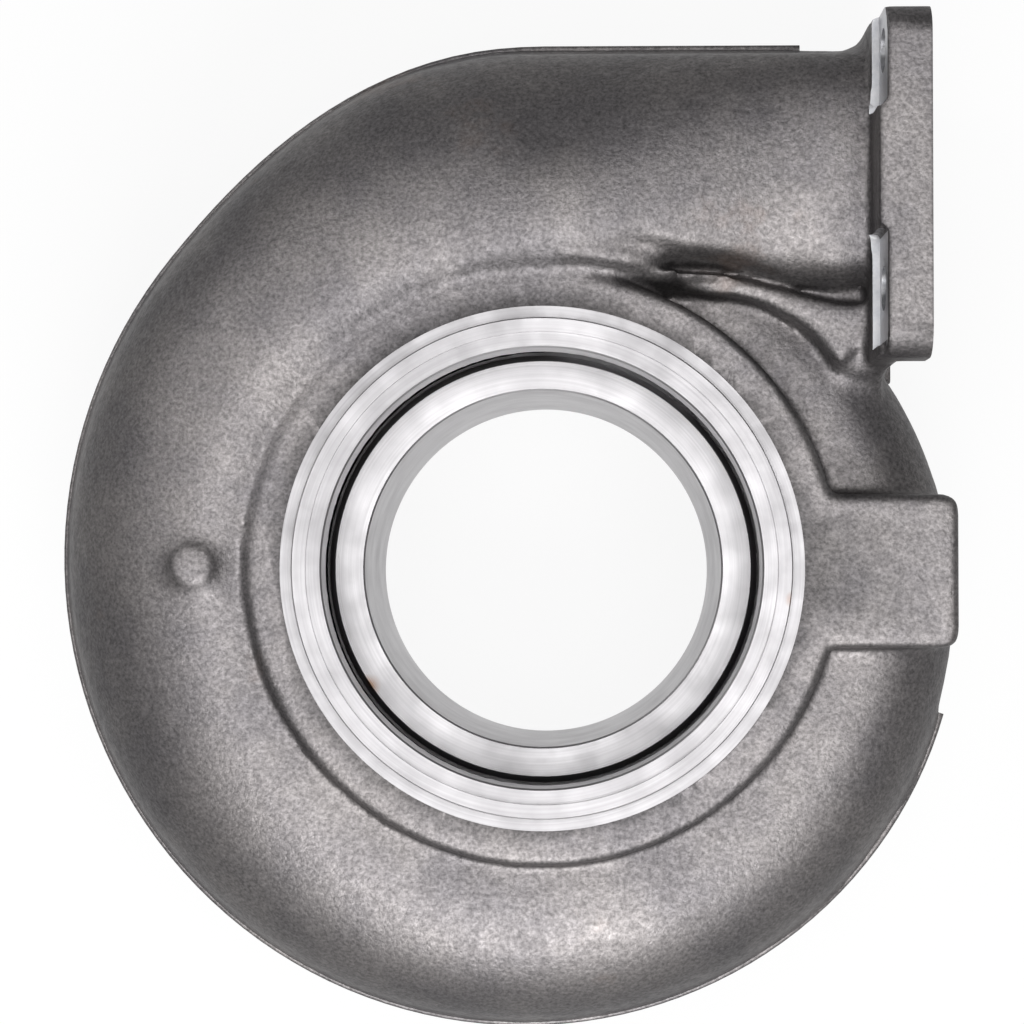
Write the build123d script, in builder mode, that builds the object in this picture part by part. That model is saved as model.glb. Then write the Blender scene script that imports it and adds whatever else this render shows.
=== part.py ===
"""Turbine housing of a large diesel turbocharger: one grey-iron casting, in millimetres.

The turbine axis is Z and the outlet face is the plane z = 0, so the housing stands on its outlet flange.
The bearing side faces up, the gas comes in along -X through the four-bolt flange at +X, and the scroll
runs anticlockwise from +Y. A section of the scroll is drawn in radius and height, at one angle.
"""

import os
from math import cos, radians, sin

from build123d import *

# Heights along the turbine axis
parting_z = 85.0  # split plane of the mould, and middle of the inlet
hub_top_z = 135.0  # flat cast face round the bearing-side ring
ring_face_z = 143.5  # machined face of the bearing-side ring

# Scroll: radius at the parting plane, and height of its crest over that plane
turn_start = 90.0  # angle at which the inlet duct runs into the scroll
turn_step = 15.0  # angle between two sections
turn_sections = 24
scroll_radius_start = 168.4
scroll_radius_slope = 6.5  # radius lost per turn at the start
scroll_radius_bend = 40.4  # and how much faster it shrinks, per turn squared
scroll_swell = 11.0  # extra radius where the round scroll opens into the straight duct
swell_start = 95.0
swell_sweep = 45.0
tongue_start = 385.0  # angle at which the scroll starts to dive under the duct
tongue_sweep = 60.0
tongue_dive = 13.0
scroll_height_start = 57.0
scroll_height_end = 27.0
crest_radius = 112.0
crest_radius_end = 105.0
hub_radius = 98.3  # rim of the flat cast face
hub_edge = 1.8  # rounding of that rim

# Inlet duct
duct_outer_y = scroll_radius_start + scroll_swell
duct_inner_y = 95.0
duct_height = 50.0  # half the height of the duct at the flange
duct_fullness = 0.80  # 0.55 draws an ellipse, 1 a square corner
round_fullness = 0.55

# Inlet flange
flange_back_x = 108.6
flange_thickness = 17.2
flange_low_y = 67.8
flange_high_y = 182.0
flange_length = 150.0
flange_corner = 10.0
flange_edge = 1.5
bolt_row_low_y = 90.7
bolt_spacing_y = 77.8
bolt_spacing_z = 122.0
bolt_hole_radius = 7.25
spot_face_radius = 23.6
spot_face_depth = 2.8
spot_face_clearance = 1.6  # how far the cutter reaches past the back of the flange
mid_block_height = 20.0
mid_block_rise = 3.5  # over the top of the flange
mid_block_width = 76.0
mid_block_depth = 4.6

# Cast walls
wall = 8.0
divider = 6.0  # wall between the two gas passages
passage_end = 410.0
flash_height = 2.8  # parting-line rib standing out of the scroll
flash_width = 4.0
flash_end = 340.0
flash_start_x = 89.0

# Machined bearing side
ring_radius = 82.0
ring_rim = 3.2  # height of the ring's outer edge
ring_neck_radius = 78.2
ring_cone = 1.4  # drop of the clamp's cone from the rim to the neck
ring_step_radius = 77.3
ring_step_depth = 1.2
opening_radius = 72.1
shroud_radius = 70.4
shroud_z = 106.0
turbine_bore_radius = 60.5
shroud_lip_z = 99.0
throat_inner_radius = 73.0
throat_outer_radius = 90.5
throat_low_z = 79.0
throat_top_z = 124.0

# Outlet side
outlet_flange_radius = 84.0
outlet_flange_rim = 4.0
outlet_cone = 2.4
neck_radius = 76.0
flare_radius = 16.0  # where the neck opens into the scroll's floor
flare_z = 46.0

# Cast pad, boss and gusset on the bearing side
pad_outer_x = 137.3
pad_low_y = -26.4
pad_high_y = 24.3
pad_foot_z = 88.0
pad_corner = 5.0
boss_x, boss_y = -115.6, 0.6
boss_radius = 7.8
boss_top_z = 137.4
gusset_top_z = 124.0
gusset_edge = 1.5
web_height = 32.0
web_draft = 8.0


def ease(share):
    """Smooth step from 0 to 1."""
    share = min(max(share, 0.0), 1.0)
    return share * share * (3.0 - 2.0 * share)


def turn(angle):
    """How many turns round the scroll an angle lies past the duct."""
    return (angle - turn_start) / 360.0


def scroll_radius(angle):
    """Outer radius of the scroll at the parting plane."""
    spiral = scroll_radius_start - scroll_radius_slope * turn(angle) - scroll_radius_bend * turn(angle) ** 2
    swell = scroll_swell * (1.0 - ease((angle - swell_start) / swell_sweep))
    return spiral + swell - tongue_dive * ease((angle - tongue_start) / tongue_sweep)


def scroll_height(angle):
    return scroll_height_start + (scroll_height_end - scroll_height_start) * turn(angle)


def scroll_crest(angle):
    return crest_radius + (crest_radius_end - crest_radius) * ease((turn(angle) - 0.7) / 0.3)


def duct_share(x):
    """0 where the duct leaves the scroll, 1 at the flange."""
    return ease(x / flange_back_x)


def duct_half_height(x):
    return scroll_height_start + (duct_height - scroll_height_start) * duct_share(x)


def radial_plane(angle):
    """Plane through the axis: its x is the radius and its y is the height."""
    out = (cos(radians(angle)), sin(radians(angle)), 0)
    return Plane(origin=(0, 0, 0), x_dir=out, z_dir=(out[1], -out[0], 0))


def duct_plane(x):
    return Plane(origin=(x, 0, 0), x_dir=(0, 1, 0), z_dir=(1, 0, 0))


def polar(radius, angle):
    return (radius * cos(radians(angle)), radius * sin(radians(angle)))


def quarter(start, corner, end, fullness):
    """A quarter of a rounded outline, from one flank to the next round a corner."""
    leave = tuple(s + (c - s) * fullness for s, c in zip(start, corner))
    arrive = tuple(e + (c - e) * fullness for e, c in zip(end, corner))
    Bezier(start, leave, arrive, end)


def casting_section(plane, inside, inside_foot, inner, crest, outer, height, fullness):
    """Outside of the casting: crest, outer wall, floor and inner flank. The hub hides the scroll's flank."""
    roof, floor, flank = parting_z + height, parting_z - height, 105.0
    with BuildSketch(plane) as section:
        with BuildLine():
            quarter((crest, roof), (outer, roof), (outer, parting_z), fullness)
            quarter((outer, parting_z), (outer, floor), (crest, floor), fullness)
            quarter((crest, floor), (inside, floor), (inside, inside_foot), fullness)
            Line((inside, inside_foot), (inside, flank - 2.0))
            Line((inside, flank - 2.0), (inner, flank))
            quarter((inner, flank), (inner, roof), (crest, roof), fullness)
        make_face()
    return section.sketch


def passage_section(plane, side, inner, crest, outer, height, fullness):
    """One gas passage: a flat floor on the divider and a rounded roof on the given side of it."""
    floor = parting_z + side * divider / 2
    roof = parting_z + side * height
    flank = parting_z + side * height / 2
    with BuildSketch(plane) as section:
        with BuildLine():
            quarter((crest, roof), (outer, roof), (outer, floor), fullness)
            Line((outer, floor), (inner, floor))
            Line((inner, floor), (inner, flank))
            quarter((inner, flank), (inner, roof), (crest, roof), fullness)
        make_face()
    return section.sketch


# Hub: outlet flange, neck, flat cast face and bearing-side ring, turned round the axis
with BuildPart() as hub:
    with BuildSketch(Plane.XZ):
        with BuildLine():
            Polyline(
                (0, 0),
                (outlet_flange_radius, 0),
                (outlet_flange_radius, outlet_flange_rim),
                (neck_radius, outlet_flange_rim + outlet_cone),
                (neck_radius, flare_z - flare_radius),
            )
            RadiusArc((neck_radius, flare_z - flare_radius), (neck_radius + flare_radius, flare_z), flare_radius)
            Polyline(
                (neck_radius + flare_radius, flare_z),
                (neck_radius + flare_radius, throat_low_z + 20),
                (hub_radius, throat_low_z + 20),
                (hub_radius, hub_top_z - hub_edge),
            )
            RadiusArc(
                (hub_radius, hub_top_z - hub_edge), (hub_radius - hub_edge, hub_top_z), -hub_edge
            )
            Polyline(
                (hub_radius - hub_edge, hub_top_z),
                (ring_neck_radius, hub_top_z),
                (ring_neck_radius, ring_face_z - ring_rim - ring_cone),
                (ring_radius, ring_face_z - ring_rim),
                (ring_radius, ring_face_z),
                (0, ring_face_z),
                (0, 0),
            )
        make_face()
    revolve(axis=Axis.Z)

# Inlet duct and scroll, lofted through their sections. The scroll's end dives into the duct's root, so
# the skin is made in two lengths that meet on one section.
duct_sections = []
for x in (flange_back_x + 2.0, 82.0, 54.0, 26.0):
    share = duct_share(x)
    duct_sections.append(
        casting_section(
            duct_plane(x),
            inside=duct_inner_y - 6.0 * (1 - share) - 0.5,
            inside_foot=parting_z - duct_half_height(x) + 10.0 + 10.0 * share,
            inner=duct_inner_y - 6.0 * (1 - share),
            crest=crest_radius + 16.0 * share,
            outer=duct_outer_y,
            height=duct_half_height(x),
            fullness=round_fullness + (duct_fullness - round_fullness) * share,
        )
    )
scroll_sections = []
for i in range(turn_sections):
    angle = turn_start + turn_step * i
    scroll_sections.append(
        casting_section(
            radial_plane(angle),
            inside=70.0,
            inside_foot=parting_z - scroll_height(angle) + 10.0,
            inner=max(89.7 - 29.0 * turn(angle), 72.0),
            crest=scroll_crest(angle),
            outer=scroll_radius(angle),
            height=scroll_height(angle),
            fullness=round_fullness,
        )
    )
half = turn_sections // 2
with BuildPart() as scroll_start:
    loft(sections=duct_sections + scroll_sections[: half + 1])
with BuildPart() as scroll_end:
    loft(sections=scroll_sections[half:])

# Flash left by the mould along its parting line, from the duct's top round to the lower right
with BuildPart() as flash:
    with BuildSketch(Plane.XY.offset(parting_z - flash_width / 2)):
        with BuildLine():
            edge_y = duct_outer_y + flash_height
            angles = [turn_start + 12.5 * i for i in range(int((flash_end - turn_start) / 12.5) + 1)]
            rim = [polar(scroll_radius(a) + flash_height, a) for a in angles]
            Line((flash_start_x, edge_y), rim[0])
            Spline(*rim, tangents=[(-1, 0), (-sin(radians(flash_end)), cos(radians(flash_end)))])
            Polyline(
                rim[-1],
                polar(110, flash_end),
                polar(105, flash_end + 60),
                (flash_start_x - 20, 140),
                (flash_start_x - 4, 160),
                (flash_start_x, edge_y),
            )
        make_face()
    extrude(amount=flash_width)

# Inlet flange
with BuildPart() as flange:
    with BuildSketch(duct_plane(flange_back_x)):
        with Locations(((flange_low_y + flange_high_y) / 2, parting_z)):
            RectangleRounded(flange_high_y - flange_low_y, flange_length, flange_corner)
    extrude(amount=flange_thickness)
    chamfer(flange.faces().sort_by(Axis.X)[-1].edges(), flange_edge)

with BuildPart() as mid_block:
    with BuildSketch(duct_plane(flange_back_x - mid_block_depth)):
        with Locations((flange_high_y + mid_block_rise - mid_block_height / 2, parting_z)):
            RectangleRounded(mid_block_height, mid_block_width, 6.0)
    extrude(amount=mid_block_depth + flange_thickness / 3)
    fillet(mid_block.faces().sort_by(Axis.X)[0].edges(), 3.0)

# Gusset between the scroll's end and the flange, level on top
with BuildPart() as gusset:
    with BuildSketch(Plane.XY.offset(2 * parting_z - gusset_top_z)):
        with BuildLine():
            end_x = flange_back_x + 1.0
            Spline((46, 93), (51, 98.4), (66, 96.8), (82, 92.8), (94, 89.6), (end_x, 88.3))
            Polyline((end_x, 88.3), (end_x, 74.7), (103, 71.6), (99.3, 66.5))
            Spline((99.3, 66.5), (93.4, 74.1), (88, 80.1), (79.7, 85.1), (71.3, 89.1), (59.2, 91.2), (46, 93))
        make_face()
    extrude(amount=2 * (gusset_top_z - parting_z))
    fillet(gusset.faces().sort_by(Axis.Z)[-1].edges(), gusset_edge)

# Web that closes the corner between the flange's lower edge and the scroll
with BuildPart() as web:
    with BuildSketch(Plane.XY.offset(parting_z)):
        with BuildLine():
            Polyline((122.5, 59.5), (112, 50), (92, 62), (104, 76), (122.5, flange_low_y + 1))
            ThreePointArc((122.5, flange_low_y + 1), (118, 65), (122.5, 59.5))
        make_face()
    extrude(amount=web_height, both=True, taper=web_draft)

# Rectangular pad in line with the flat cast face
with BuildPart() as pad:
    with BuildSketch(Plane.XY.offset(pad_foot_z)):
        with BuildLine():
            Polyline(
                (84, pad_low_y), (pad_outer_x, pad_low_y), (pad_outer_x, pad_high_y), (84, pad_high_y), close=True
            )
        make_face()
    extrude(amount=hub_top_z - pad_foot_z)
    fillet(pad.edges().filter_by(Axis.Z).sort_by(Axis.X)[-2:], pad_corner)
    fillet(pad.faces().sort_by(Axis.Z)[-1].edges().sort_by(Axis.X)[1:], hub_edge)

# Gas passages on both sides of the divider, straight through the duct and then round the scroll
passages = []
for side in (1, -1):
    root_radius = 85.0 if side > 0 else neck_radius
    duct_sections = []
    for x in (flange_back_x + flange_thickness + 1.0, 96.0, 64.0, 32.0, 0.0):
        share = duct_share(x)
        duct_sections.append(
            passage_section(
                duct_plane(x),
                side,
                inner=root_radius + (duct_inner_y + wall - root_radius) * ease(x / 32.0),
                crest=crest_radius + 6.0 + 12.0 * share,
                outer=duct_outer_y - wall,
                height=duct_half_height(x) - wall,
                fullness=round_fullness + (duct_fullness - round_fullness) * share,
            )
        )
    scroll_sections = []
    for i in range(int((passage_end - turn_start) / turn_step) + 1):
        angle = turn_start + turn_step * i
        scroll_sections.append(
            passage_section(
                radial_plane(angle),
                side,
                inner=root_radius,
                crest=scroll_crest(angle) + 6.0 * (1 - turn(angle)),
                outer=scroll_radius(angle) - wall,
                height=scroll_height(angle) - wall,
                fullness=round_fullness,
            )
        )
    with BuildPart() as passage:
        loft(sections=duct_sections)
        loft(sections=scroll_sections)
    passages.append(passage.part)

with BuildPart() as machining:
    with BuildSketch(Plane.XZ):
        with BuildLine():
            Polyline(
                (0, -1),
                (turbine_bore_radius, -1),
                (turbine_bore_radius, shroud_lip_z - 0.8),
                (turbine_bore_radius + 0.8, shroud_lip_z),
                (shroud_radius - 1.5, shroud_z),
                (shroud_radius, shroud_z - 1.5),
                (throat_inner_radius, shroud_z - 8),
                (throat_inner_radius, throat_low_z),
                (throat_outer_radius, throat_low_z),
                (throat_outer_radius, throat_top_z),
                (opening_radius, throat_top_z),
                (opening_radius, ring_face_z - ring_step_depth - 0.6),
                (opening_radius + 0.6, ring_face_z - ring_step_depth),
                (ring_step_radius, ring_face_z - ring_step_depth),
                (ring_step_radius, ring_face_z + 1),
                (0, ring_face_z + 1),
                close=True,
            )
        make_face()
    revolve(axis=Axis.Z)

with BuildPart() as turbine_housing:
    for piece in (scroll_start, scroll_end, hub, flash, flange, mid_block, gusset, web, pad):
        add(piece.part)
    # Round cast boss on the scroll's crest: the crest is cut level over it, and it stands out beyond
    with Locations((boss_x, boss_y, boss_top_z)):
        Cylinder(boss_radius, 30, align=(Align.CENTER, Align.CENTER, Align.MAX))
        Cylinder(boss_radius, 10, align=(Align.CENTER, Align.CENTER, Align.MIN), mode=Mode.SUBTRACT)
    for passage in passages:
        add(passage, mode=Mode.SUBTRACT)
    add(machining.part, mode=Mode.SUBTRACT)
    # Bolt holes through the flange, spot-faced at the back
    with BuildSketch(duct_plane(flange_back_x - spot_face_clearance)):
        with Locations((bolt_row_low_y + bolt_spacing_y / 2, parting_z)):
            with GridLocations(bolt_spacing_y, bolt_spacing_z, 2, 2):
                Circle(spot_face_radius)
    extrude(amount=spot_face_clearance + spot_face_depth, mode=Mode.SUBTRACT)
    with BuildSketch(duct_plane(flange_back_x - spot_face_clearance)):
        with Locations((bolt_row_low_y + bolt_spacing_y / 2, parting_z)):
            with GridLocations(bolt_spacing_y, bolt_spacing_z, 2, 2):
                Circle(bolt_hole_radius)
    extrude(amount=spot_face_clearance + flange_thickness + 1, mode=Mode.SUBTRACT)

turbine_housing.part.label = "turbine_housing"
os.makedirs("parts", exist_ok=True)
export_step(turbine_housing.part, "parts/turbine_housing.step")
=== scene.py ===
from math import cos, pi, radians, sin

import bmesh
import bpy
import numpy as np
from mathutils import Matrix, Vector


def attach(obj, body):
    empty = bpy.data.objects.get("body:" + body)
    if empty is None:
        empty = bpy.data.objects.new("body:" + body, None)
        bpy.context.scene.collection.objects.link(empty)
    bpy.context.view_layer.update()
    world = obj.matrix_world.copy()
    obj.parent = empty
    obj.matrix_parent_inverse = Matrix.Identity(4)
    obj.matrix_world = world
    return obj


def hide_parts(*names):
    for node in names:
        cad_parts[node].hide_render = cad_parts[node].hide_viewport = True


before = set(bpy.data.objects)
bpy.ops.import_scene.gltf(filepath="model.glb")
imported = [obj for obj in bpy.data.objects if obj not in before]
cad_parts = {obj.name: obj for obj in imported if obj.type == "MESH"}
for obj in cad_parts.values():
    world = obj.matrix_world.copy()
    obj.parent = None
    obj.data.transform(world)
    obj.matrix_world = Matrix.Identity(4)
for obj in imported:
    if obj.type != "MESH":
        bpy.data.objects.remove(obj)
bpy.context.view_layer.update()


# Raw casting: one piece of grey iron poured in sand, with loose cores for its two gas passages. It has the
# scroll, duct, flange, gusset, pad and boss on it. It carries stock wherever it is turned or milled later,
# and the sand has rounded every corner of it. Sizes here and below are in millimetres.
mm = 0.001
parting_z = 85.0  # the two halves of the mould meet at this height
flange_edge_x = 124.2  # beyond it the flange rounds over to its joint face
joint_stock = 3.0
bolt_ys = (90.7, 168.5)
bolt_reach_z = 61.0  # from the parting to a bolt's middle
sand_grain = 1.35  # size of the mesh that takes the shape of the mould
triangle_limit = 158000

casting = bpy.data.objects.new("housing_casting", bpy.data.meshes.new("housing_casting"))
bpy.context.collection.objects.link(casting)
shell = bmesh.new()
shell.from_mesh(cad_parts["turbine_housing"].data)
bmesh.ops.remove_doubles(shell, verts=shell.verts, dist=2e-6)
for v in shell.verts:
    if v.co.x > flange_edge_x * mm and v.co.y > 60 * mm:
        v.co.x += joint_stock * mm
shell.to_mesh(casting.data)
shell.free()


def bar(outline, low, high, along="z"):
    """A closed bar with this outline, from low to high along one axis."""
    count = len(outline)
    points = []
    for end in (low, high):
        for u, v in outline:
            points.append(tuple(c * mm for c in ((u, v, end) if along == "z" else (end, u, v))))
    faces = [(i, (i + 1) % count, count + (i + 1) % count, count + i) for i in range(count)]
    faces.append(tuple(reversed(range(count))))
    faces.append(tuple(range(count, 2 * count)))
    return points, faces


def swept(sections):
    """A closed skin through sections of equal count, each a list of points."""
    count = len(sections[0])
    points = [tuple(c * mm for c in point) for section in sections for point in section]
    faces = []
    for k in range(len(sections) - 1):
        for i in range(count):
            j = (i + 1) % count
            faces.append((k * count + i, k * count + j, (k + 1) * count + j, (k + 1) * count + i))
    faces += [tuple(range(count)), tuple(range(len(points) - count, len(points)))]
    return points, faces


def mesh_object(name, *shapes):
    """One object made of closed shapes."""
    points, faces = [], []
    for shape_points, shape_faces in shapes:
        first = len(points)
        points += shape_points
        faces += [tuple(first + i for i in face) for face in shape_faces]
    mesh = bpy.data.meshes.new(name)
    mesh.from_pydata(points, [], faces)
    solid = bmesh.new()
    solid.from_mesh(mesh)
    bmesh.ops.recalc_face_normals(solid, faces=solid.faces)
    solid.to_mesh(mesh)
    solid.free()
    thing = bpy.data.objects.new(name, mesh)
    bpy.context.collection.objects.link(thing)
    return thing


def finished(thing, kind, inputs=None, **settings):
    """Runs one modifier on an object and keeps its result as the object's plain mesh."""
    modifier = thing.modifiers.new(kind, kind)
    for name, value in settings.items():
        setattr(modifier, name, value)
    for identifier, value in (inputs or {}).items():
        modifier[identifier] = value
    graph = bpy.context.evaluated_depsgraph_get()
    mesh = bpy.data.meshes.new_from_object(thing.evaluated_get(graph))
    thing.modifiers.remove(modifier)
    thing.data = mesh


def machine(cutter):
    """Takes a cutter's shape off the casting, and then the cutter away."""
    finished(casting, "BOOLEAN", operation="DIFFERENCE", solver="MANIFOLD", object=cutter)
    bpy.data.objects.remove(cutter)


# The flange's side is stepped in between its ears. Near the parting it follows a bow round the axis
ear_side = [
    (117, 57), (115.4, 60.8), (114.5, 64.4), (115.2, 66.2),
    (116.7, 68), (118.6, 69.6), (121.2, 70.7), (121.2, 76.8),
]
for bow_radius, z_low, z_high in (
    (None, 35.4, 58), (133, 58, 65), (136.4, 65, 105), (133, 105, 112), (None, 112, 134.6),
):
    edge = ear_side
    if bow_radius:
        edge = [(bow_radius * cos(radians(a)), bow_radius * sin(radians(a))) for a in (23, 25, 27, 29, 31)]
        edge.append((min(112.5, edge[-1][0]), 76.8))
    machine(mesh_object("waist", bar([(130, edge[0][1]), (130, 76.8)] + edge[::-1], z_low, z_high)))

# A groove follows the gusset's edge along the duct, on both faces, and runs out at the gusset's tip
gusset_edge = [
    (36, 98.6), (43, 98.6), (50, 98.4), (58, 97.9), (66, 96.8),
    (74, 95.1), (82, 92.9), (94, 89.9), (104, 88.7), (109, 88.4),
]
groove_rise = [14, 5.5, 1.0, 0, 0, 0, 0, 0, 0, 0]
groove_section = [
    (0, 117.6), (1.4, 116.9), (3.2, 120), (4.9, 127), (6.3, 133), (7.6, 140), (8.4, 152), (0, 152),
]
upper_groove = [
    [(u, v + across, min(height + rise, 152)) for across, height in groove_section]
    for (u, v), rise in zip(gusset_edge, groove_rise)
]
lower_groove = [[(u, v, 2 * parting_z - w) for u, v, w in section] for section in upper_groove]
machine(mesh_object("grooves", swept(upper_groove), swept(lower_groove)))


def ring(outline, steps=288):
    """A closed ring round the turbine axis, with this outline of radius and height."""
    count = len(outline)
    points, faces = [], []
    for k in range(steps):
        angle = 2 * pi * k / steps
        points += [(r * cos(angle) * mm, r * sin(angle) * mm, z * mm) for r, z in outline]
        here, there = k * count, (k + 1) % steps * count
        for i in range(count):
            j = (i + 1) % count
            faces.append((here + i, there + i, there + j, here + j))
    return points, faces


def box_outline(u_low, u_high, v_low, v_high):
    return [(u_low, v_low), (u_high, v_low), (u_high, v_high), (u_low, v_high)]


# Iron added to the copy: stock on the clamp ring, in the bore, on the outlet's rim, round the nut seats and
# in the bolt holes, then what closes the gusset's flank and the corners beside the web, and the web itself
web = [
    (121.2, 81.5), (121.2, 77), (121.2, 70.7), (118.6, 69.6), (116.7, 68), (115.2, 66.2), (114.5, 64.4),
    (115.4, 60.8), (112.5, 55), (110.4, 50), (99.6, 54), (99.6, 64),
    (109.5, 67.1), (109.5, 77), (109.5, 81.5),
]
web_heights = [min(49.4, 49.4 - 1.44 * (77 - v)) for u, v in web]
duct_corner = [
    (144, 119), (144, 133.9), (150, 133), (157, 131.4), (163, 128.6), (169, 124.6), (172, 121), (172, 119),
]
duct_flank = [(96, 117), (97.6, 121.5), (101.2, 127.6), (105, 130.6), (109, 132.4), (116, 134.0), (117, 117)]
fills = [
    ([(70, 91), (74, 98), (82, 97.5), (110, 96.5), (110, 86), (94, 88), (80, 90)], 31.0),
    ([(97, 66), (103, 58), (113, 62), (114, 80), (103, 82), (98, 74)], 26.0),
    ([(100, 67.5), (103.5, 64), (108.8, 66), (109.2, 79), (102, 79)], 35.0),
]
stock = [
    ring([(69.0, 133.0), (83.4, 133.0), (83.4, 146.0), (69.0, 146.0)]),
    ring([(57.5, -3.0), (74.0, -3.0), (74.0, 107.0), (57.5, 107.0)]),
    ring([(58.0, -3.0), (87.0, -3.0), (87.0, 5.4), (58.0, 5.4)]),
]
for side in (1, -1):
    seat_heights = sorted((parting_z + side * 37, parting_z + side * 67.5))
    stock.append(bar(box_outline(109.0, 113.0, 68.6, 115.5), *seat_heights))
    stock.append(bar(box_outline(109.0, 113.0, 144.0, 181.2), *seat_heights))
    for outline in (duct_corner, duct_flank):
        flank = [(v, parting_z + side * (w - parting_z)) for v, w in outline]
        stock.append(bar(flank, 106.4, 112.0, along="x"))
    for y in bolt_ys:
        z = parting_z + side * bolt_reach_z
        stock.append(bar(box_outline(y - 8, y + 8, z - 8.5, z + 8.5), 109.5, 127.5, along="x"))
    for outline, reach in fills:
        stock.append(bar(outline, *sorted((parting_z, parting_z + side * reach))))
stock.append(swept([
    [(u, v, parting_z + side * height) for (u, v), height in zip(web, web_heights)] for side in (-1, 1)
]))
extra = mesh_object("stock", *stock)
whole = bmesh.new()
whole.from_mesh(casting.data)
whole.from_mesh(extra.data)
whole.to_mesh(casting.data)
whole.free()
bpy.data.objects.remove(extra)
finished(casting, "REMESH", mode="VOXEL", voxel_size=sand_grain * mm)

mesh = casting.data
points = np.empty(len(mesh.vertices) * 3)
mesh.vertices.foreach_get("co", points)
points = points.reshape(-1, 3) / mm
ends = np.empty(len(mesh.edges) * 2, dtype=np.int32)
mesh.edges.foreach_get("vertices", ends)
ends = ends.reshape(-1, 2)
neighbours = np.bincount(ends.ravel(), minlength=len(points))


def step(value, low, high):
    """0 below low, 1 above high, smooth between them."""
    share = np.clip((value - low) / (high - low), 0, 1)
    return share * share * (3 - 2 * share)


def soften(weight, rounds, back=0.0):
    """Moves each point towards the middle of its neighbours, as far as its weight allows, and then back."""
    a, b = ends[:, 0], ends[:, 1]
    for _ in range(rounds):
        for share in (0.5, -back):
            if share:
                for axis in range(3):
                    column = points[:, axis]
                    total = np.bincount(a, column[b], len(points)) + np.bincount(b, column[a], len(points))
                    points[:, axis] = column + share * weight * (total / neighbours - column)


x, y, z = points.T
radius = np.hypot(x, y)
sand = step(radius, 88, 92) * step(z, 8, 11)  # all but the clamp ring, the bores and the outlet's rim
on_flange = step(x, 103, 107) * step(y, 60, 66)
on_boss = (1 - step(np.hypot(x + 115.6, y - 0.6), 7.0, 8.0)) * step(z, 130, 133)
on_pad = step(x, 84, 90) * (1 - step(np.abs(y + 1), 29, 33)) * step(z, 84, 88)
on_gusset = step(x, 38, 44) * step(y, 52, 60) * (1 - step(y, 99, 103)) * step(z, 86, 90)

# The duct's outer wall leans in from the parting with the pattern's draft
drafted_y = 179.2 - 0.188 * np.abs(z - parting_z)
points[:, 1] -= step(106 - x, 0, 3) * (np.abs(z - parting_z) > 2.6) * np.clip(y - drafted_y, 0, 6)

# Sharp corners go first, then the scroll's broad faces, the gusset's lower edge and the corner by the web
soften(sand * (1 - 0.7 * on_flange), 10, back=0.53)
soften(sand * (1 - 0.85 * on_flange) * (1 - 0.7 * on_gusset), 7)
scroll = step(radius, 101, 106) * (1 - on_flange) * (1 - on_boss) * (1 - on_pad) * (1 - 0.85 * on_gusset)
soften(scroll * step(z, 12, 40), 24)
lower_edge = (1 - step(np.abs(np.hypot(x - 44, y - 30) - 63), 3, 7)) * step(x, 60, 68)
lower_edge = lower_edge * (1 - step(x, 98, 102)) * step(y, 60, 66) * step(z, 96, 104)
soften(lower_edge, 10)
corner = step(x, 94, 99) * (1 - step(x, 113, 116)) * step(y, 46, 52) * (1 - step(y, 74, 79))
corner = corner * step(z, 84, 90) * (1 - step(z, 120.5, 123))
soften(corner, 26)


def along(path, reach):
    """How near each point lies, seen from above, to a line of short straight runs: 1 on it, 0 beyond."""
    near = np.full(len(points), 1e9)
    for (xa, ya), (xb, yb) in zip(path, path[1:]):
        run = (xb - xa) ** 2 + (yb - ya) ** 2
        share = np.clip(((x - xa) * (xb - xa) + (y - ya) * (yb - ya)) / run, 0, 1)
        near = np.minimum(near, np.hypot(x - xa - share * (xb - xa), y - ya - share * (yb - ya)))
    return np.exp(-((near / reach) ** 2))


# The pattern maker left a valley and a fine ridge where the scroll's end runs in under the duct, a gap at the
# gusset's tip, and a saddle over the duct's root
valley = [(16, 107), (28, 106.7), (37, 105.6), (46, 103), (60, 101.5)]
ridge = [(7, 103.4), (16, 102.8), (24, 101.6), (33, 100.1), (39, 97.8)]
gusset_tip = [(43.6, 90.5), (45.4, 97.5)]
top_side = step(z, 112, 118)
points[:, 2] -= 2.4 * top_side * step(x, 14, 34) * (1 - step(x, 42, 52)) * along(valley, 3.0)
points[:, 2] += 1.0 * top_side * step(x, -2, 10) * along(ridge, 2.4)
points[:, 2] -= 2.2 * top_side * along(gusset_tip, 1.5)
saddle = np.exp(-(((x - 3) / 15) ** 2 + ((y - 150) / 17) ** 2))
points[:, 2] -= 2.2 * top_side * saddle
mesh.vertices.foreach_set("co", (points * mm).ravel())
mesh.update()
finished(casting, "DECIMATE", ratio=min(1.0, triangle_limit / (2 * len(mesh.polygons))))


def node(tree, kind, inputs=None, **settings):
    """Adds a node to a tree. Each input is a value, or a socket that it is linked to."""
    made = tree.nodes.new(kind)
    for name, value in settings.items():
        setattr(made, name, value)
    for key, value in (inputs or {}).items():
        if isinstance(value, bpy.types.NodeSocket):
            tree.links.new(value, made.inputs[key])
        else:
            made.inputs[key].default_value = value
    return made


def shaded(material):
    material.use_nodes = True
    tree = material.node_tree
    place = node(tree, "ShaderNodeTexCoord").outputs["Object"]
    return tree, tree.nodes["Principled BSDF"], place


def noise(tree, vector, scale, detail=2.0, roughness=0.5):
    inputs = {"Vector": vector, "Scale": scale, "Detail": detail, "Roughness": roughness}
    return node(tree, "ShaderNodeTexNoise", inputs).outputs["Fac"]


def spread(tree, value, low, high, to_low, to_high):
    inputs = {"Value": value, "From Min": low, "From Max": high, "To Min": to_low, "To Max": to_high}
    return node(tree, "ShaderNodeMapRange", inputs).outputs["Result"]


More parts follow.
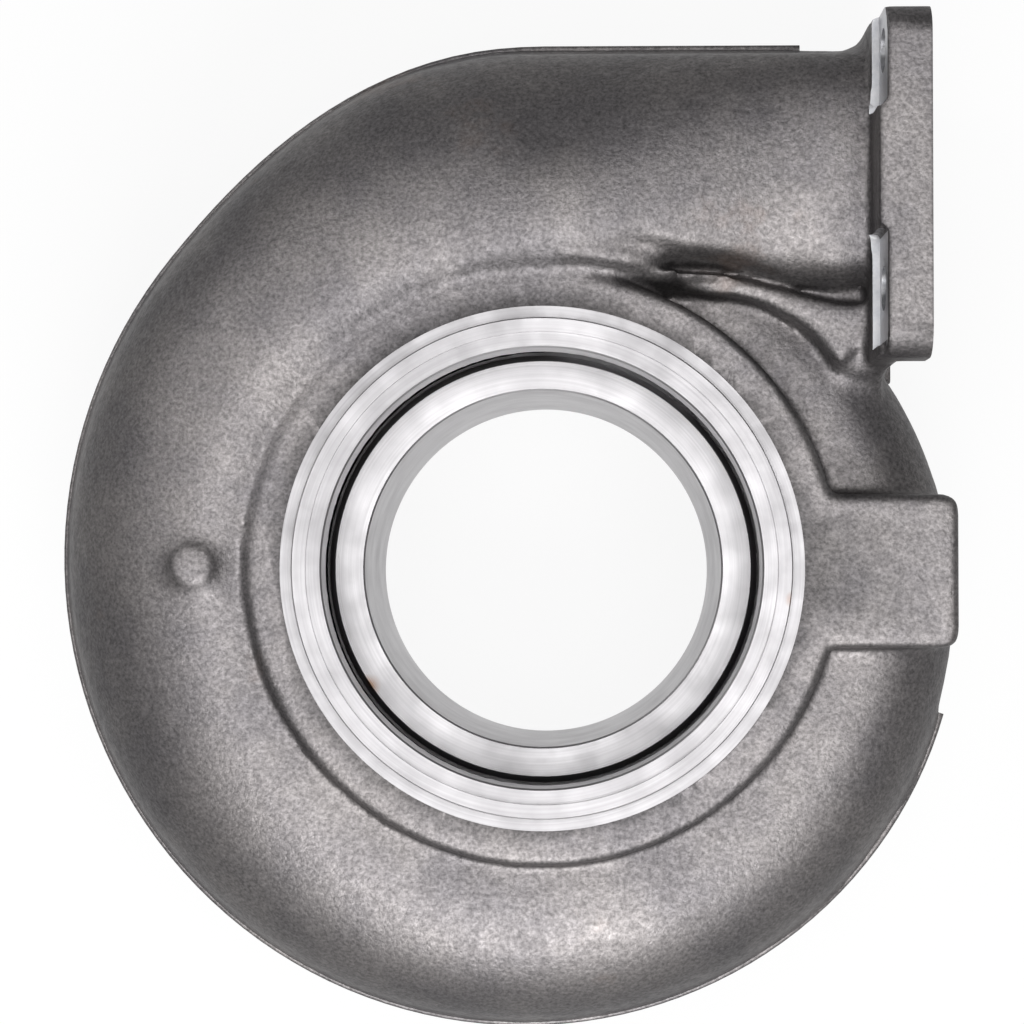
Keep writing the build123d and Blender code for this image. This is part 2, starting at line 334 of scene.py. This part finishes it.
def blend(tree, share, first, second, mode="MIX"):
    made = node(tree, "ShaderNodeMix", {"Factor": share}, data_type="RGBA", blend_type=mode)
    for socket, value in ((made.inputs[6], first), (made.inputs[7], second)):
        if isinstance(value, bpy.types.NodeSocket):
            tree.links.new(value, socket)
        else:
            socket.default_value = (*value, 1)
    return made.outputs[2]


# The skin has the print of the sand, blast-cleaned to a satin grey, with brown rust that comes through
cast_skin = bpy.data.materials.new("sand-cast iron")
tree, shader, place = shaded(cast_skin)
patches = noise(tree, place, 26, 5, 0.6)
fine = noise(tree, place, 820, 3, 0.6)
coarse = noise(tree, place, 300, 2)
tone = blend(tree, spread(tree, patches, 0.38, 0.62, 0, 1), (0.235, 0.222, 0.228), (0.325, 0.305, 0.303))
speckle = spread(tree, fine, 0.3, 0.7, 0.62, 1.34)
# Painted shade: the slope attribute darkens the skin's tone on steep walls and leaves level faces at full
# tone
slope_shade = node(tree, "ShaderNodeAttribute", attribute_name="painted_slope_shade").outputs["Fac"]
for share in (speckle, slope_shade):
    grey = node(tree, "ShaderNodeCombineColor", {0: share, 1: share, 2: share}).outputs[0]
    tone = blend(tree, 1.0, tone, grey, "MULTIPLY")
rusty = spread(tree, noise(tree, place, 11, 6, 0.65), 0.62, 0.76, 0, 0.35)
tone = blend(tree, rusty, tone, (0.23, 0.125, 0.07))
tree.links.new(tone, shader.inputs["Base Color"])
tree.links.new(spread(tree, coarse, 0.3, 0.7, 0.5, 0.64), shader.inputs["Roughness"])
shader.inputs["Metallic"].default_value = 0.85
deep = node(tree, "ShaderNodeBump", {"Height": coarse, "Distance": 0.22 * mm, "Strength": 0.8}).outputs[0]
sandy = {"Height": fine, "Distance": 0.2 * mm, "Strength": 1.0, "Normal": deep}
tree.links.new(node(tree, "ShaderNodeBump", sandy).outputs[0], shader.inputs["Normal"])


# Flash: the thin rib of iron that ran out between the two halves of the mould. It follows the parting line
# from the duct's top round the scroll to the lower right, where it was dressed off round.
flash_height = 2.5
flash_width = 4.2
flash_root = 5.0
flash_corner = 1.1
duct_end_x = 89.0


def scroll_radius(angle):
    """Radius of the scroll at the parting line, which shrinks faster as it goes round."""
    turns = (angle - 90) / 360
    swell = min(max((angle - 95) / 45, 0), 1)
    return 168.4 - 6.5 * turns - 40.4 * turns ** 2 + 11 * (1 - swell * swell * (3 - 2 * swell))


line = [(duct_end_x - duct_end_x * k / 12, scroll_radius(90)) for k in range(12)]
for k in range(101):
    angle = 90 + 2.5 * k
    line.append((scroll_radius(angle) * cos(radians(angle)), scroll_radius(angle) * sin(radians(angle))))
rim = []
for k, (u, v) in enumerate(line):
    ahead, behind = Vector(line[min(k + 1, len(line) - 1)]), Vector(line[max(k - 1, 0)])
    out = (ahead - behind).normalized()
    offset = (flash_height - flash_root) / 2
    rim.append(((u + out.y * offset) * mm, (v - out.x * offset) * mm, parting_z * mm))
flash_mesh = bpy.data.meshes.new("flash")
flash_mesh.from_pydata(rim, [(k, k + 1) for k in range(len(rim) - 1)], [])
flash = bpy.data.objects.new("flash", flash_mesh)
bpy.context.collection.objects.link(flash)


def shape_tree(name, **sizes):
    """An empty tree of geometry nodes with a named input for each size, in metres."""
    tree = bpy.data.node_groups.new(name, "GeometryNodeTree")
    tree.interface.new_socket("Geometry", in_out="INPUT", socket_type="NodeSocketGeometry")
    tree.interface.new_socket("Geometry", in_out="OUTPUT", socket_type="NodeSocketGeometry")
    inputs = {}
    for size, value in sizes.items():
        socket = tree.interface.new_socket(size, in_out="INPUT", socket_type="NodeSocketFloat")
        inputs[socket.identifier] = value * mm
    return tree, tree.nodes.new("NodeGroupInput").outputs, inputs


def close_tree(tree, shape, material):
    whole = node(tree, "GeometryNodeRealizeInstances", {"Geometry": shape})
    coated = node(tree, "GeometryNodeSetMaterial", {"Geometry": whole.outputs[0], "Material": material})
    node(tree, "NodeGroupOutput", {"Geometry": coated.outputs[0]})


tree, sizes, inputs = shape_tree(
    "rib along a line", depth=flash_height + flash_root, width=flash_width, corner=flash_corner,
)
curve = node(tree, "GeometryNodeMeshToCurve", {"Mesh": sizes["Geometry"]})
upright = node(tree, "GeometryNodeSetCurveNormal", {"Curve": curve.outputs[0]}, mode="Z_UP")
section = node(
    tree, "GeometryNodeCurvePrimitiveQuadrilateral", {"Width": sizes["depth"], "Height": sizes["width"]},
)
rounded = node(
    tree, "GeometryNodeFilletCurve",
    {"Curve": section.outputs[0], "Count": 3, "Radius": sizes["corner"]}, mode="POLY",
)
rib = node(
    tree, "GeometryNodeCurveToMesh",
    {"Curve": upright.outputs[0], "Profile Curve": rounded.outputs[0], "Fill Caps": True},
)
close_tree(tree, rib.outputs[0], cast_skin)
finished(flash, "NODES", inputs, node_group=tree)
solid = bmesh.new()
solid.from_mesh(flash.data)
bmesh.ops.remove_doubles(solid, verts=solid.verts, dist=1e-6)
bmesh.ops.recalc_face_normals(solid, faces=solid.faces)
solid.to_mesh(flash.data)
solid.free()
finished(casting, "BOOLEAN", operation="UNION", solver="MANIFOLD", object=flash)
bpy.data.objects.remove(flash)


# Turned faces: the clamp ring and its step on the bearing side, the clamp's groove behind them, the shroud
# with its fine lip, the turbine's bore, the throat, and the outlet's face and rim. They are bare bright iron,
# all cut in one setting on a lathe, with a speck of rust here and there.
bore_radius = 60.5
shroud_z = 106.0
shroud_radius = 73.0
throat_radius = 90.5
throat_low, throat_high = 79.0, 124.0
opening_radius = 72.1
step_z = 142.3
ring_radius = 82.0
ring_face_z = 143.5
clamp_z = 134.9
outlet_radius = 84.0

machine(mesh_object("bores", ring([
    (50, -6), (61.3, -6), (61.3, -0.2), (bore_radius, 0.6), (bore_radius, 105.4), (61.1, shroud_z),
    (69.6, shroud_z), (69.6, 106.4), (70.4, 106.4), (71.0, 105.8), (shroud_radius, 98),
    (shroud_radius, throat_low), (throat_radius, throat_low), (throat_radius, throat_high),
    (opening_radius, throat_high), (opening_radius, 141.7), (72.7, step_z), (77.3, step_z),
    (77.3, 150), (50, 150),
])))
machine(mesh_object("clamp groove", ring([
    (78.2, clamp_z), (86.5, clamp_z), (86.5, 150), (81.5, 150), (81.5, 143.6), (ring_radius, 143.1),
    (ring_radius, 140.3), (78.2, 138.9),
])))
machine(mesh_object("ring face", ring([(66, ring_face_z), (90, ring_face_z), (90, 151), (66, 151)])))
machine(mesh_object("outlet face", ring([(50, -7), (97, -7), (97, 0), (50, 0)])))
machine(mesh_object("outlet rim", ring([
    (outlet_radius, 0.5), (83.5, 0), (83.5, -8), (96, -8),
    (96, 7.5), (76.3, 7.5), (76.3, 6.3), (outlet_radius, 4),
])))


def turned_finish(name, dark, light, roughness, depth, rust):
    """Iron left by a lathe tool: fine rings round the axis, in tone and in height."""
    material = bpy.data.materials.new(name)
    tree, shader, place = shaded(material)
    axes = node(tree, "ShaderNodeSeparateXYZ", {"Vector": place}).outputs
    flat = node(tree, "ShaderNodeCombineXYZ", {"X": axes["X"], "Y": axes["Y"]}).outputs[0]
    reach = node(tree, "ShaderNodeVectorMath", {0: flat}, operation="LENGTH").outputs["Value"]
    travel = node(tree, "ShaderNodeMath", {0: reach, 1: axes["Z"]}, operation="ADD").outputs[0]
    travel = node(tree, "ShaderNodeMath", {0: travel, 1: 1500.0}, operation="MULTIPLY").outputs[0]
    lathe = node(tree, "ShaderNodeCombineXYZ", {"X": travel}).outputs[0]
    wander = node(tree, "ShaderNodeVectorMath", {0: place, 1: (22, 22, 22)}, operation="MULTIPLY").outputs[0]
    lathe = node(tree, "ShaderNodeVectorMath", {0: lathe, 1: wander}, operation="ADD").outputs[0]
    streaks = noise(tree, lathe, 1.0, 3, 0.6)
    stains = noise(tree, place, 60, 5, 0.6)
    tone = blend(tree, spread(tree, streaks, 0.3, 0.7, 0, 1), dark, light)
    tone = blend(tree, spread(tree, stains, 0.42, 0.68, 0, 0.4), tone, dark)
    for spot, size in rust:
        middle = [c * mm for c in spot]
        gap = node(tree, "ShaderNodeVectorMath", {0: place, 1: middle}, operation="DISTANCE").outputs["Value"]
        close = spread(tree, gap, 0, size * mm, 1, 0)
        near = node(tree, "ShaderNodeMath", {0: close, 1: streaks}, operation="MULTIPLY").outputs[0]
        tone = blend(tree, spread(tree, near, 0.1, 0.5, 0, 0.8), tone, (0.26, 0.13, 0.06))
    tree.links.new(tone, shader.inputs["Base Color"])
    worn = spread(tree, stains, 0.3, 0.7, roughness - 0.05, roughness + 0.09)
    tree.links.new(worn, shader.inputs["Roughness"])
    shader.inputs["Metallic"].default_value = 0.95
    bump = node(tree, "ShaderNodeBump", {"Height": streaks, "Distance": depth * mm, "Strength": 0.7})
    tree.links.new(bump.outputs[0], shader.inputs["Normal"])
    return material


turned_face = turned_finish(
    "turned iron", (0.36, 0.35, 0.36), (0.45, 0.44, 0.45), 0.43, 0.014, [((82, -10.4, 142.5), 4.0)],
)
turned_bore = turned_finish(
    "bored iron", (0.42, 0.41, 0.42), (0.53, 0.52, 0.53), 0.43, 0.014, [((-58.6, -39.6, 106), 5.0)],
)


# Milled faces: the joint face of the inlet flange, and a seat for the nut behind each of its four ears.
# Each ear has a drilled hole for a bolt. The iron is bare and a little bluer than the turned faces.
joint_face_x = 125.8
seat_x = 111.4
seat_reach_z = 49.6  # from the parting to a seat's inner wall
seat_corner = 1.6
hole_radius = 7.25

machine(mesh_object("joint face", bar(box_outline(joint_face_x, 133, 60, 195), -3, 175)))
seats = []
for z_low, z_high in ((5, parting_z - seat_reach_z), (parting_z + seat_reach_z, 165)):
    for y_low, y_high in ((71.7, 109.7), (149.5, 190)):
        outline = [(107.9, y_high), (107.9, y_low)]
        for v, start in ((y_low + seat_corner, -90), (y_high - seat_corner, 0)):
            for turn in (0, 22.5, 45, 67.5, 90):
                angle = radians(start + turn)
                outline.append((
                    seat_x - seat_corner + seat_corner * cos(angle), v + seat_corner * sin(angle),
                ))
        seats.append(bar(outline, z_low, z_high))
machine(mesh_object("seats", *seats))

milled = bpy.data.materials.new("milled iron")
tree, shader, place = shaded(milled)
swirl = noise(tree, place, 260, 4, 0.65)
tone = blend(tree, spread(tree, swirl, 0.3, 0.7, 0, 1), (0.38, 0.385, 0.41), (0.56, 0.56, 0.57))
tree.links.new(tone, shader.inputs["Base Color"])
tree.links.new(spread(tree, swirl, 0.3, 0.7, 0.34, 0.46), shader.inputs["Roughness"])
shader.inputs["Metallic"].default_value = 0.95
cutter_marks = node(tree, "ShaderNodeBump", {"Height": swirl, "Distance": 0.03 * mm, "Strength": 0.6})
tree.links.new(cutter_marks.outputs[0], shader.inputs["Normal"])

tree, sizes, inputs = shape_tree(
    "drills in a grid",
    across=bolt_ys[1] - bolt_ys[0], upright=2 * bolt_reach_z, radius=hole_radius, reach=24.0,
)
grid = node(
    tree, "GeometryNodeMeshGrid",
    {"Size X": sizes["across"], "Size Y": sizes["upright"], "Vertices X": 2, "Vertices Y": 2},
)
drill = node(
    tree, "GeometryNodeMeshCylinder", {"Vertices": 64, "Radius": sizes["radius"], "Depth": sizes["reach"]},
)
drills = node(
    tree, "GeometryNodeInstanceOnPoints", {"Points": grid.outputs["Mesh"], "Instance": drill.outputs["Mesh"]},
)
turned_over = node(
    tree, "GeometryNodeTransform",
    {
        "Geometry": drills.outputs[0],
        "Translation": (119 * mm, sum(bolt_ys) / 2 * mm, parting_z * mm),
        "Rotation": (pi / 2, 0, pi / 2),
    },
)
close_tree(tree, turned_over.outputs[0], milled)
holes = bpy.data.objects.new("holes", bpy.data.meshes.new("holes"))
bpy.context.collection.objects.link(holes)
finished(holes, "NODES", inputs, node_group=tree)
machine(holes)


# Finished housing: the iron left by the sand, the lathe, the boring tool and the milling cutter, each face by
# where it lies. The skin carries painted shade by slope: an attribute from each point's normal keeps level
# faces at full tone and darkens steep walls, on the upper and lower halves alike.
skin, turned, bored, cut = range(4)
mesh = casting.data
mesh.shade_smooth()
mesh.set_sharp_from_angle(angle=radians(35))
mesh.materials.clear()
for material in (cast_skin, turned_face, turned_bore, milled):
    mesh.materials.append(material)
centres = np.empty(len(mesh.polygons) * 3)
mesh.polygons.foreach_get("center", centres)
u, v, w = (centres / mm).reshape(-1, 3).T
normals = np.empty(len(mesh.polygons) * 3)
mesh.polygons.foreach_get("normal", normals)
nx, nz = normals.reshape(-1, 3).T[[0, 2]]
out = np.hypot(u, v)
level = np.abs(nz) > 0.999

finish = np.full(len(mesh.polygons), skin, dtype=np.int32)
finish[(out < ring_radius + 0.1) & (w > clamp_z - 0.05)] = turned
finish[(out < ring_radius + 1) & (w > clamp_z - 0.05) & (w < ring_face_z - 0.1)] = turned
finish[(out > ring_radius + 0.1) & (out < 86.6) & level & (np.abs(w - clamp_z) < 0.06)] = turned
finish[(out < outlet_radius + 0.1) & (w < 0.6)] = turned
finish[(out < outlet_radius + 0.1) & (out > 76.2) & (w < 6.4)] = turned
finish[(out < shroud_radius + 0.1) & (finish == skin)] = bored
finish[(np.abs(out - throat_radius) < 0.2) & (w > throat_low - 0.1) & (w < throat_high + 0.1)] = bored
for end_z in (throat_low, throat_high):
    finish[(out < throat_radius + 0.1) & level & (np.abs(w - end_z) < 0.05)] = bored
finish[(u > joint_face_x - 0.05) & (v > 60)] = cut
ears = (u > 107) & (v > 60) & (np.abs(w - parting_z) > 49)
finish[ears & (np.abs(u - seat_x) < 0.06) & (np.abs(nx) > 0.99)] = cut
finish[ears & (u < seat_x + 0.1) & level & (np.abs(np.abs(w - parting_z) - seat_reach_z) < 0.06)] = cut
for hole_y in bolt_ys:
    for hole_z in (parting_z - bolt_reach_z, parting_z + bolt_reach_z):
        finish[(u > 107) & (np.hypot(v - hole_y, w - hole_z) < hole_radius + 0.05)] = cut
mesh.polygons.foreach_set("material_index", finish)

# Painted shade by slope: 0.38 on upright walls, rising to 1 on level faces, multiplied into the skin's colour
facing = np.empty(len(mesh.vertices) * 3)
mesh.vertices.foreach_get("normal", facing)
painted_slope_shade = mesh.attributes.new("painted_slope_shade", "FLOAT", "POINT")
painted_slope_shade.data.foreach_set("value", 0.38 + 0.62 * np.abs(facing.reshape(-1, 3)[:, 2]) ** 5)
mesh.update()

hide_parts("turbine_housing")
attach(casting, "root")


# Floor: a plain white matt board, eight metres square, that the housing stands on. It shows white to the
# camera and in the iron's gloss, and is a plain board for the light, so it keeps the housing's shadow.
white_share = 0.9
floor = mesh_object("floor", ([(-4, -4, 0), (4, -4, 0), (4, 4, 0), (-4, 4, 0)], [(0, 1, 2, 3)]))
board = bpy.data.materials.new("white board")
board.use_nodes = True
tree = board.node_tree
shader = tree.nodes["Principled BSDF"]
shader.inputs["Base Color"].default_value = (0.85, 0.85, 0.85, 1)
shader.inputs["Roughness"].default_value = 0.9
seen = node(tree, "ShaderNodeLightPath").outputs
looked = seen["Is Camera Ray"]
for operation, other in (
    ("MAXIMUM", seen["Is Glossy Ray"]), ("MAXIMUM", seen["Is Transmission Ray"]), ("MULTIPLY", white_share),
):
    looked = node(tree, "ShaderNodeMath", {0: looked, 1: other}, operation=operation).outputs[0]
white = node(tree, "ShaderNodeEmission", {"Color": (1, 1, 1, 1), "Strength": 1.0})
mixed = node(tree, "ShaderNodeMixShader", {0: looked, 1: shader.outputs[0], 2: white.outputs[0]})
tree.links.new(mixed.outputs[0], tree.nodes["Material Output"].inputs["Surface"])
floor.data.materials.append(board)


# Camera and light: the camera looks straight down on the bearing side from about a metre, a little off the
# axis. Three soft round lamps stand below, over and beside the housing, in a dim white room.
camera = bpy.data.objects.new("camera", bpy.data.cameras.new("camera"))
bpy.context.collection.objects.link(camera)
camera.data.sensor_width = 36
camera.data.lens = 98.4
camera.location = (0.0113, -0.005, 1.0565)
back = (camera.location - Vector((-0.0096, 0.0182, 0.1435))).normalized()
up = (Vector((0, 1, 0)) - back * back.y).normalized()
view = Matrix((up.cross(back), up, back)).transposed().to_4x4()
view.translation = camera.location
camera.matrix_world = view
bpy.context.scene.camera = camera

for name, place, size, power in (
    ("key lamp", (0.05, -0.95, 1.05), 0.75, 17.0),
    ("front lamp", (0.12, 0.02, 1.9), 1.3, 16.0),
    ("side lamp", (-0.9, 0.55, 0.75), 0.6, 3.0),
):
    lamp = bpy.data.objects.new(name, bpy.data.lights.new(name, "AREA"))
    lamp.data.shape = "DISK"
    lamp.data.size = size
    lamp.data.energy = power
    lamp.location = place
    lamp.rotation_euler = (Vector((0, 0, 0.08)) - Vector(place)).to_track_quat("-Z", "Y").to_euler()
    bpy.context.collection.objects.link(lamp)

world = bpy.data.worlds.new("world")
bpy.context.scene.world = world
world.use_nodes = True
room = world.node_tree.nodes["Background"]
room.inputs["Color"].default_value = (1, 1, 1, 1)
room.inputs["Strength"].default_value = 0.12
bpy.context.scene.view_settings.view_transform = "Standard"
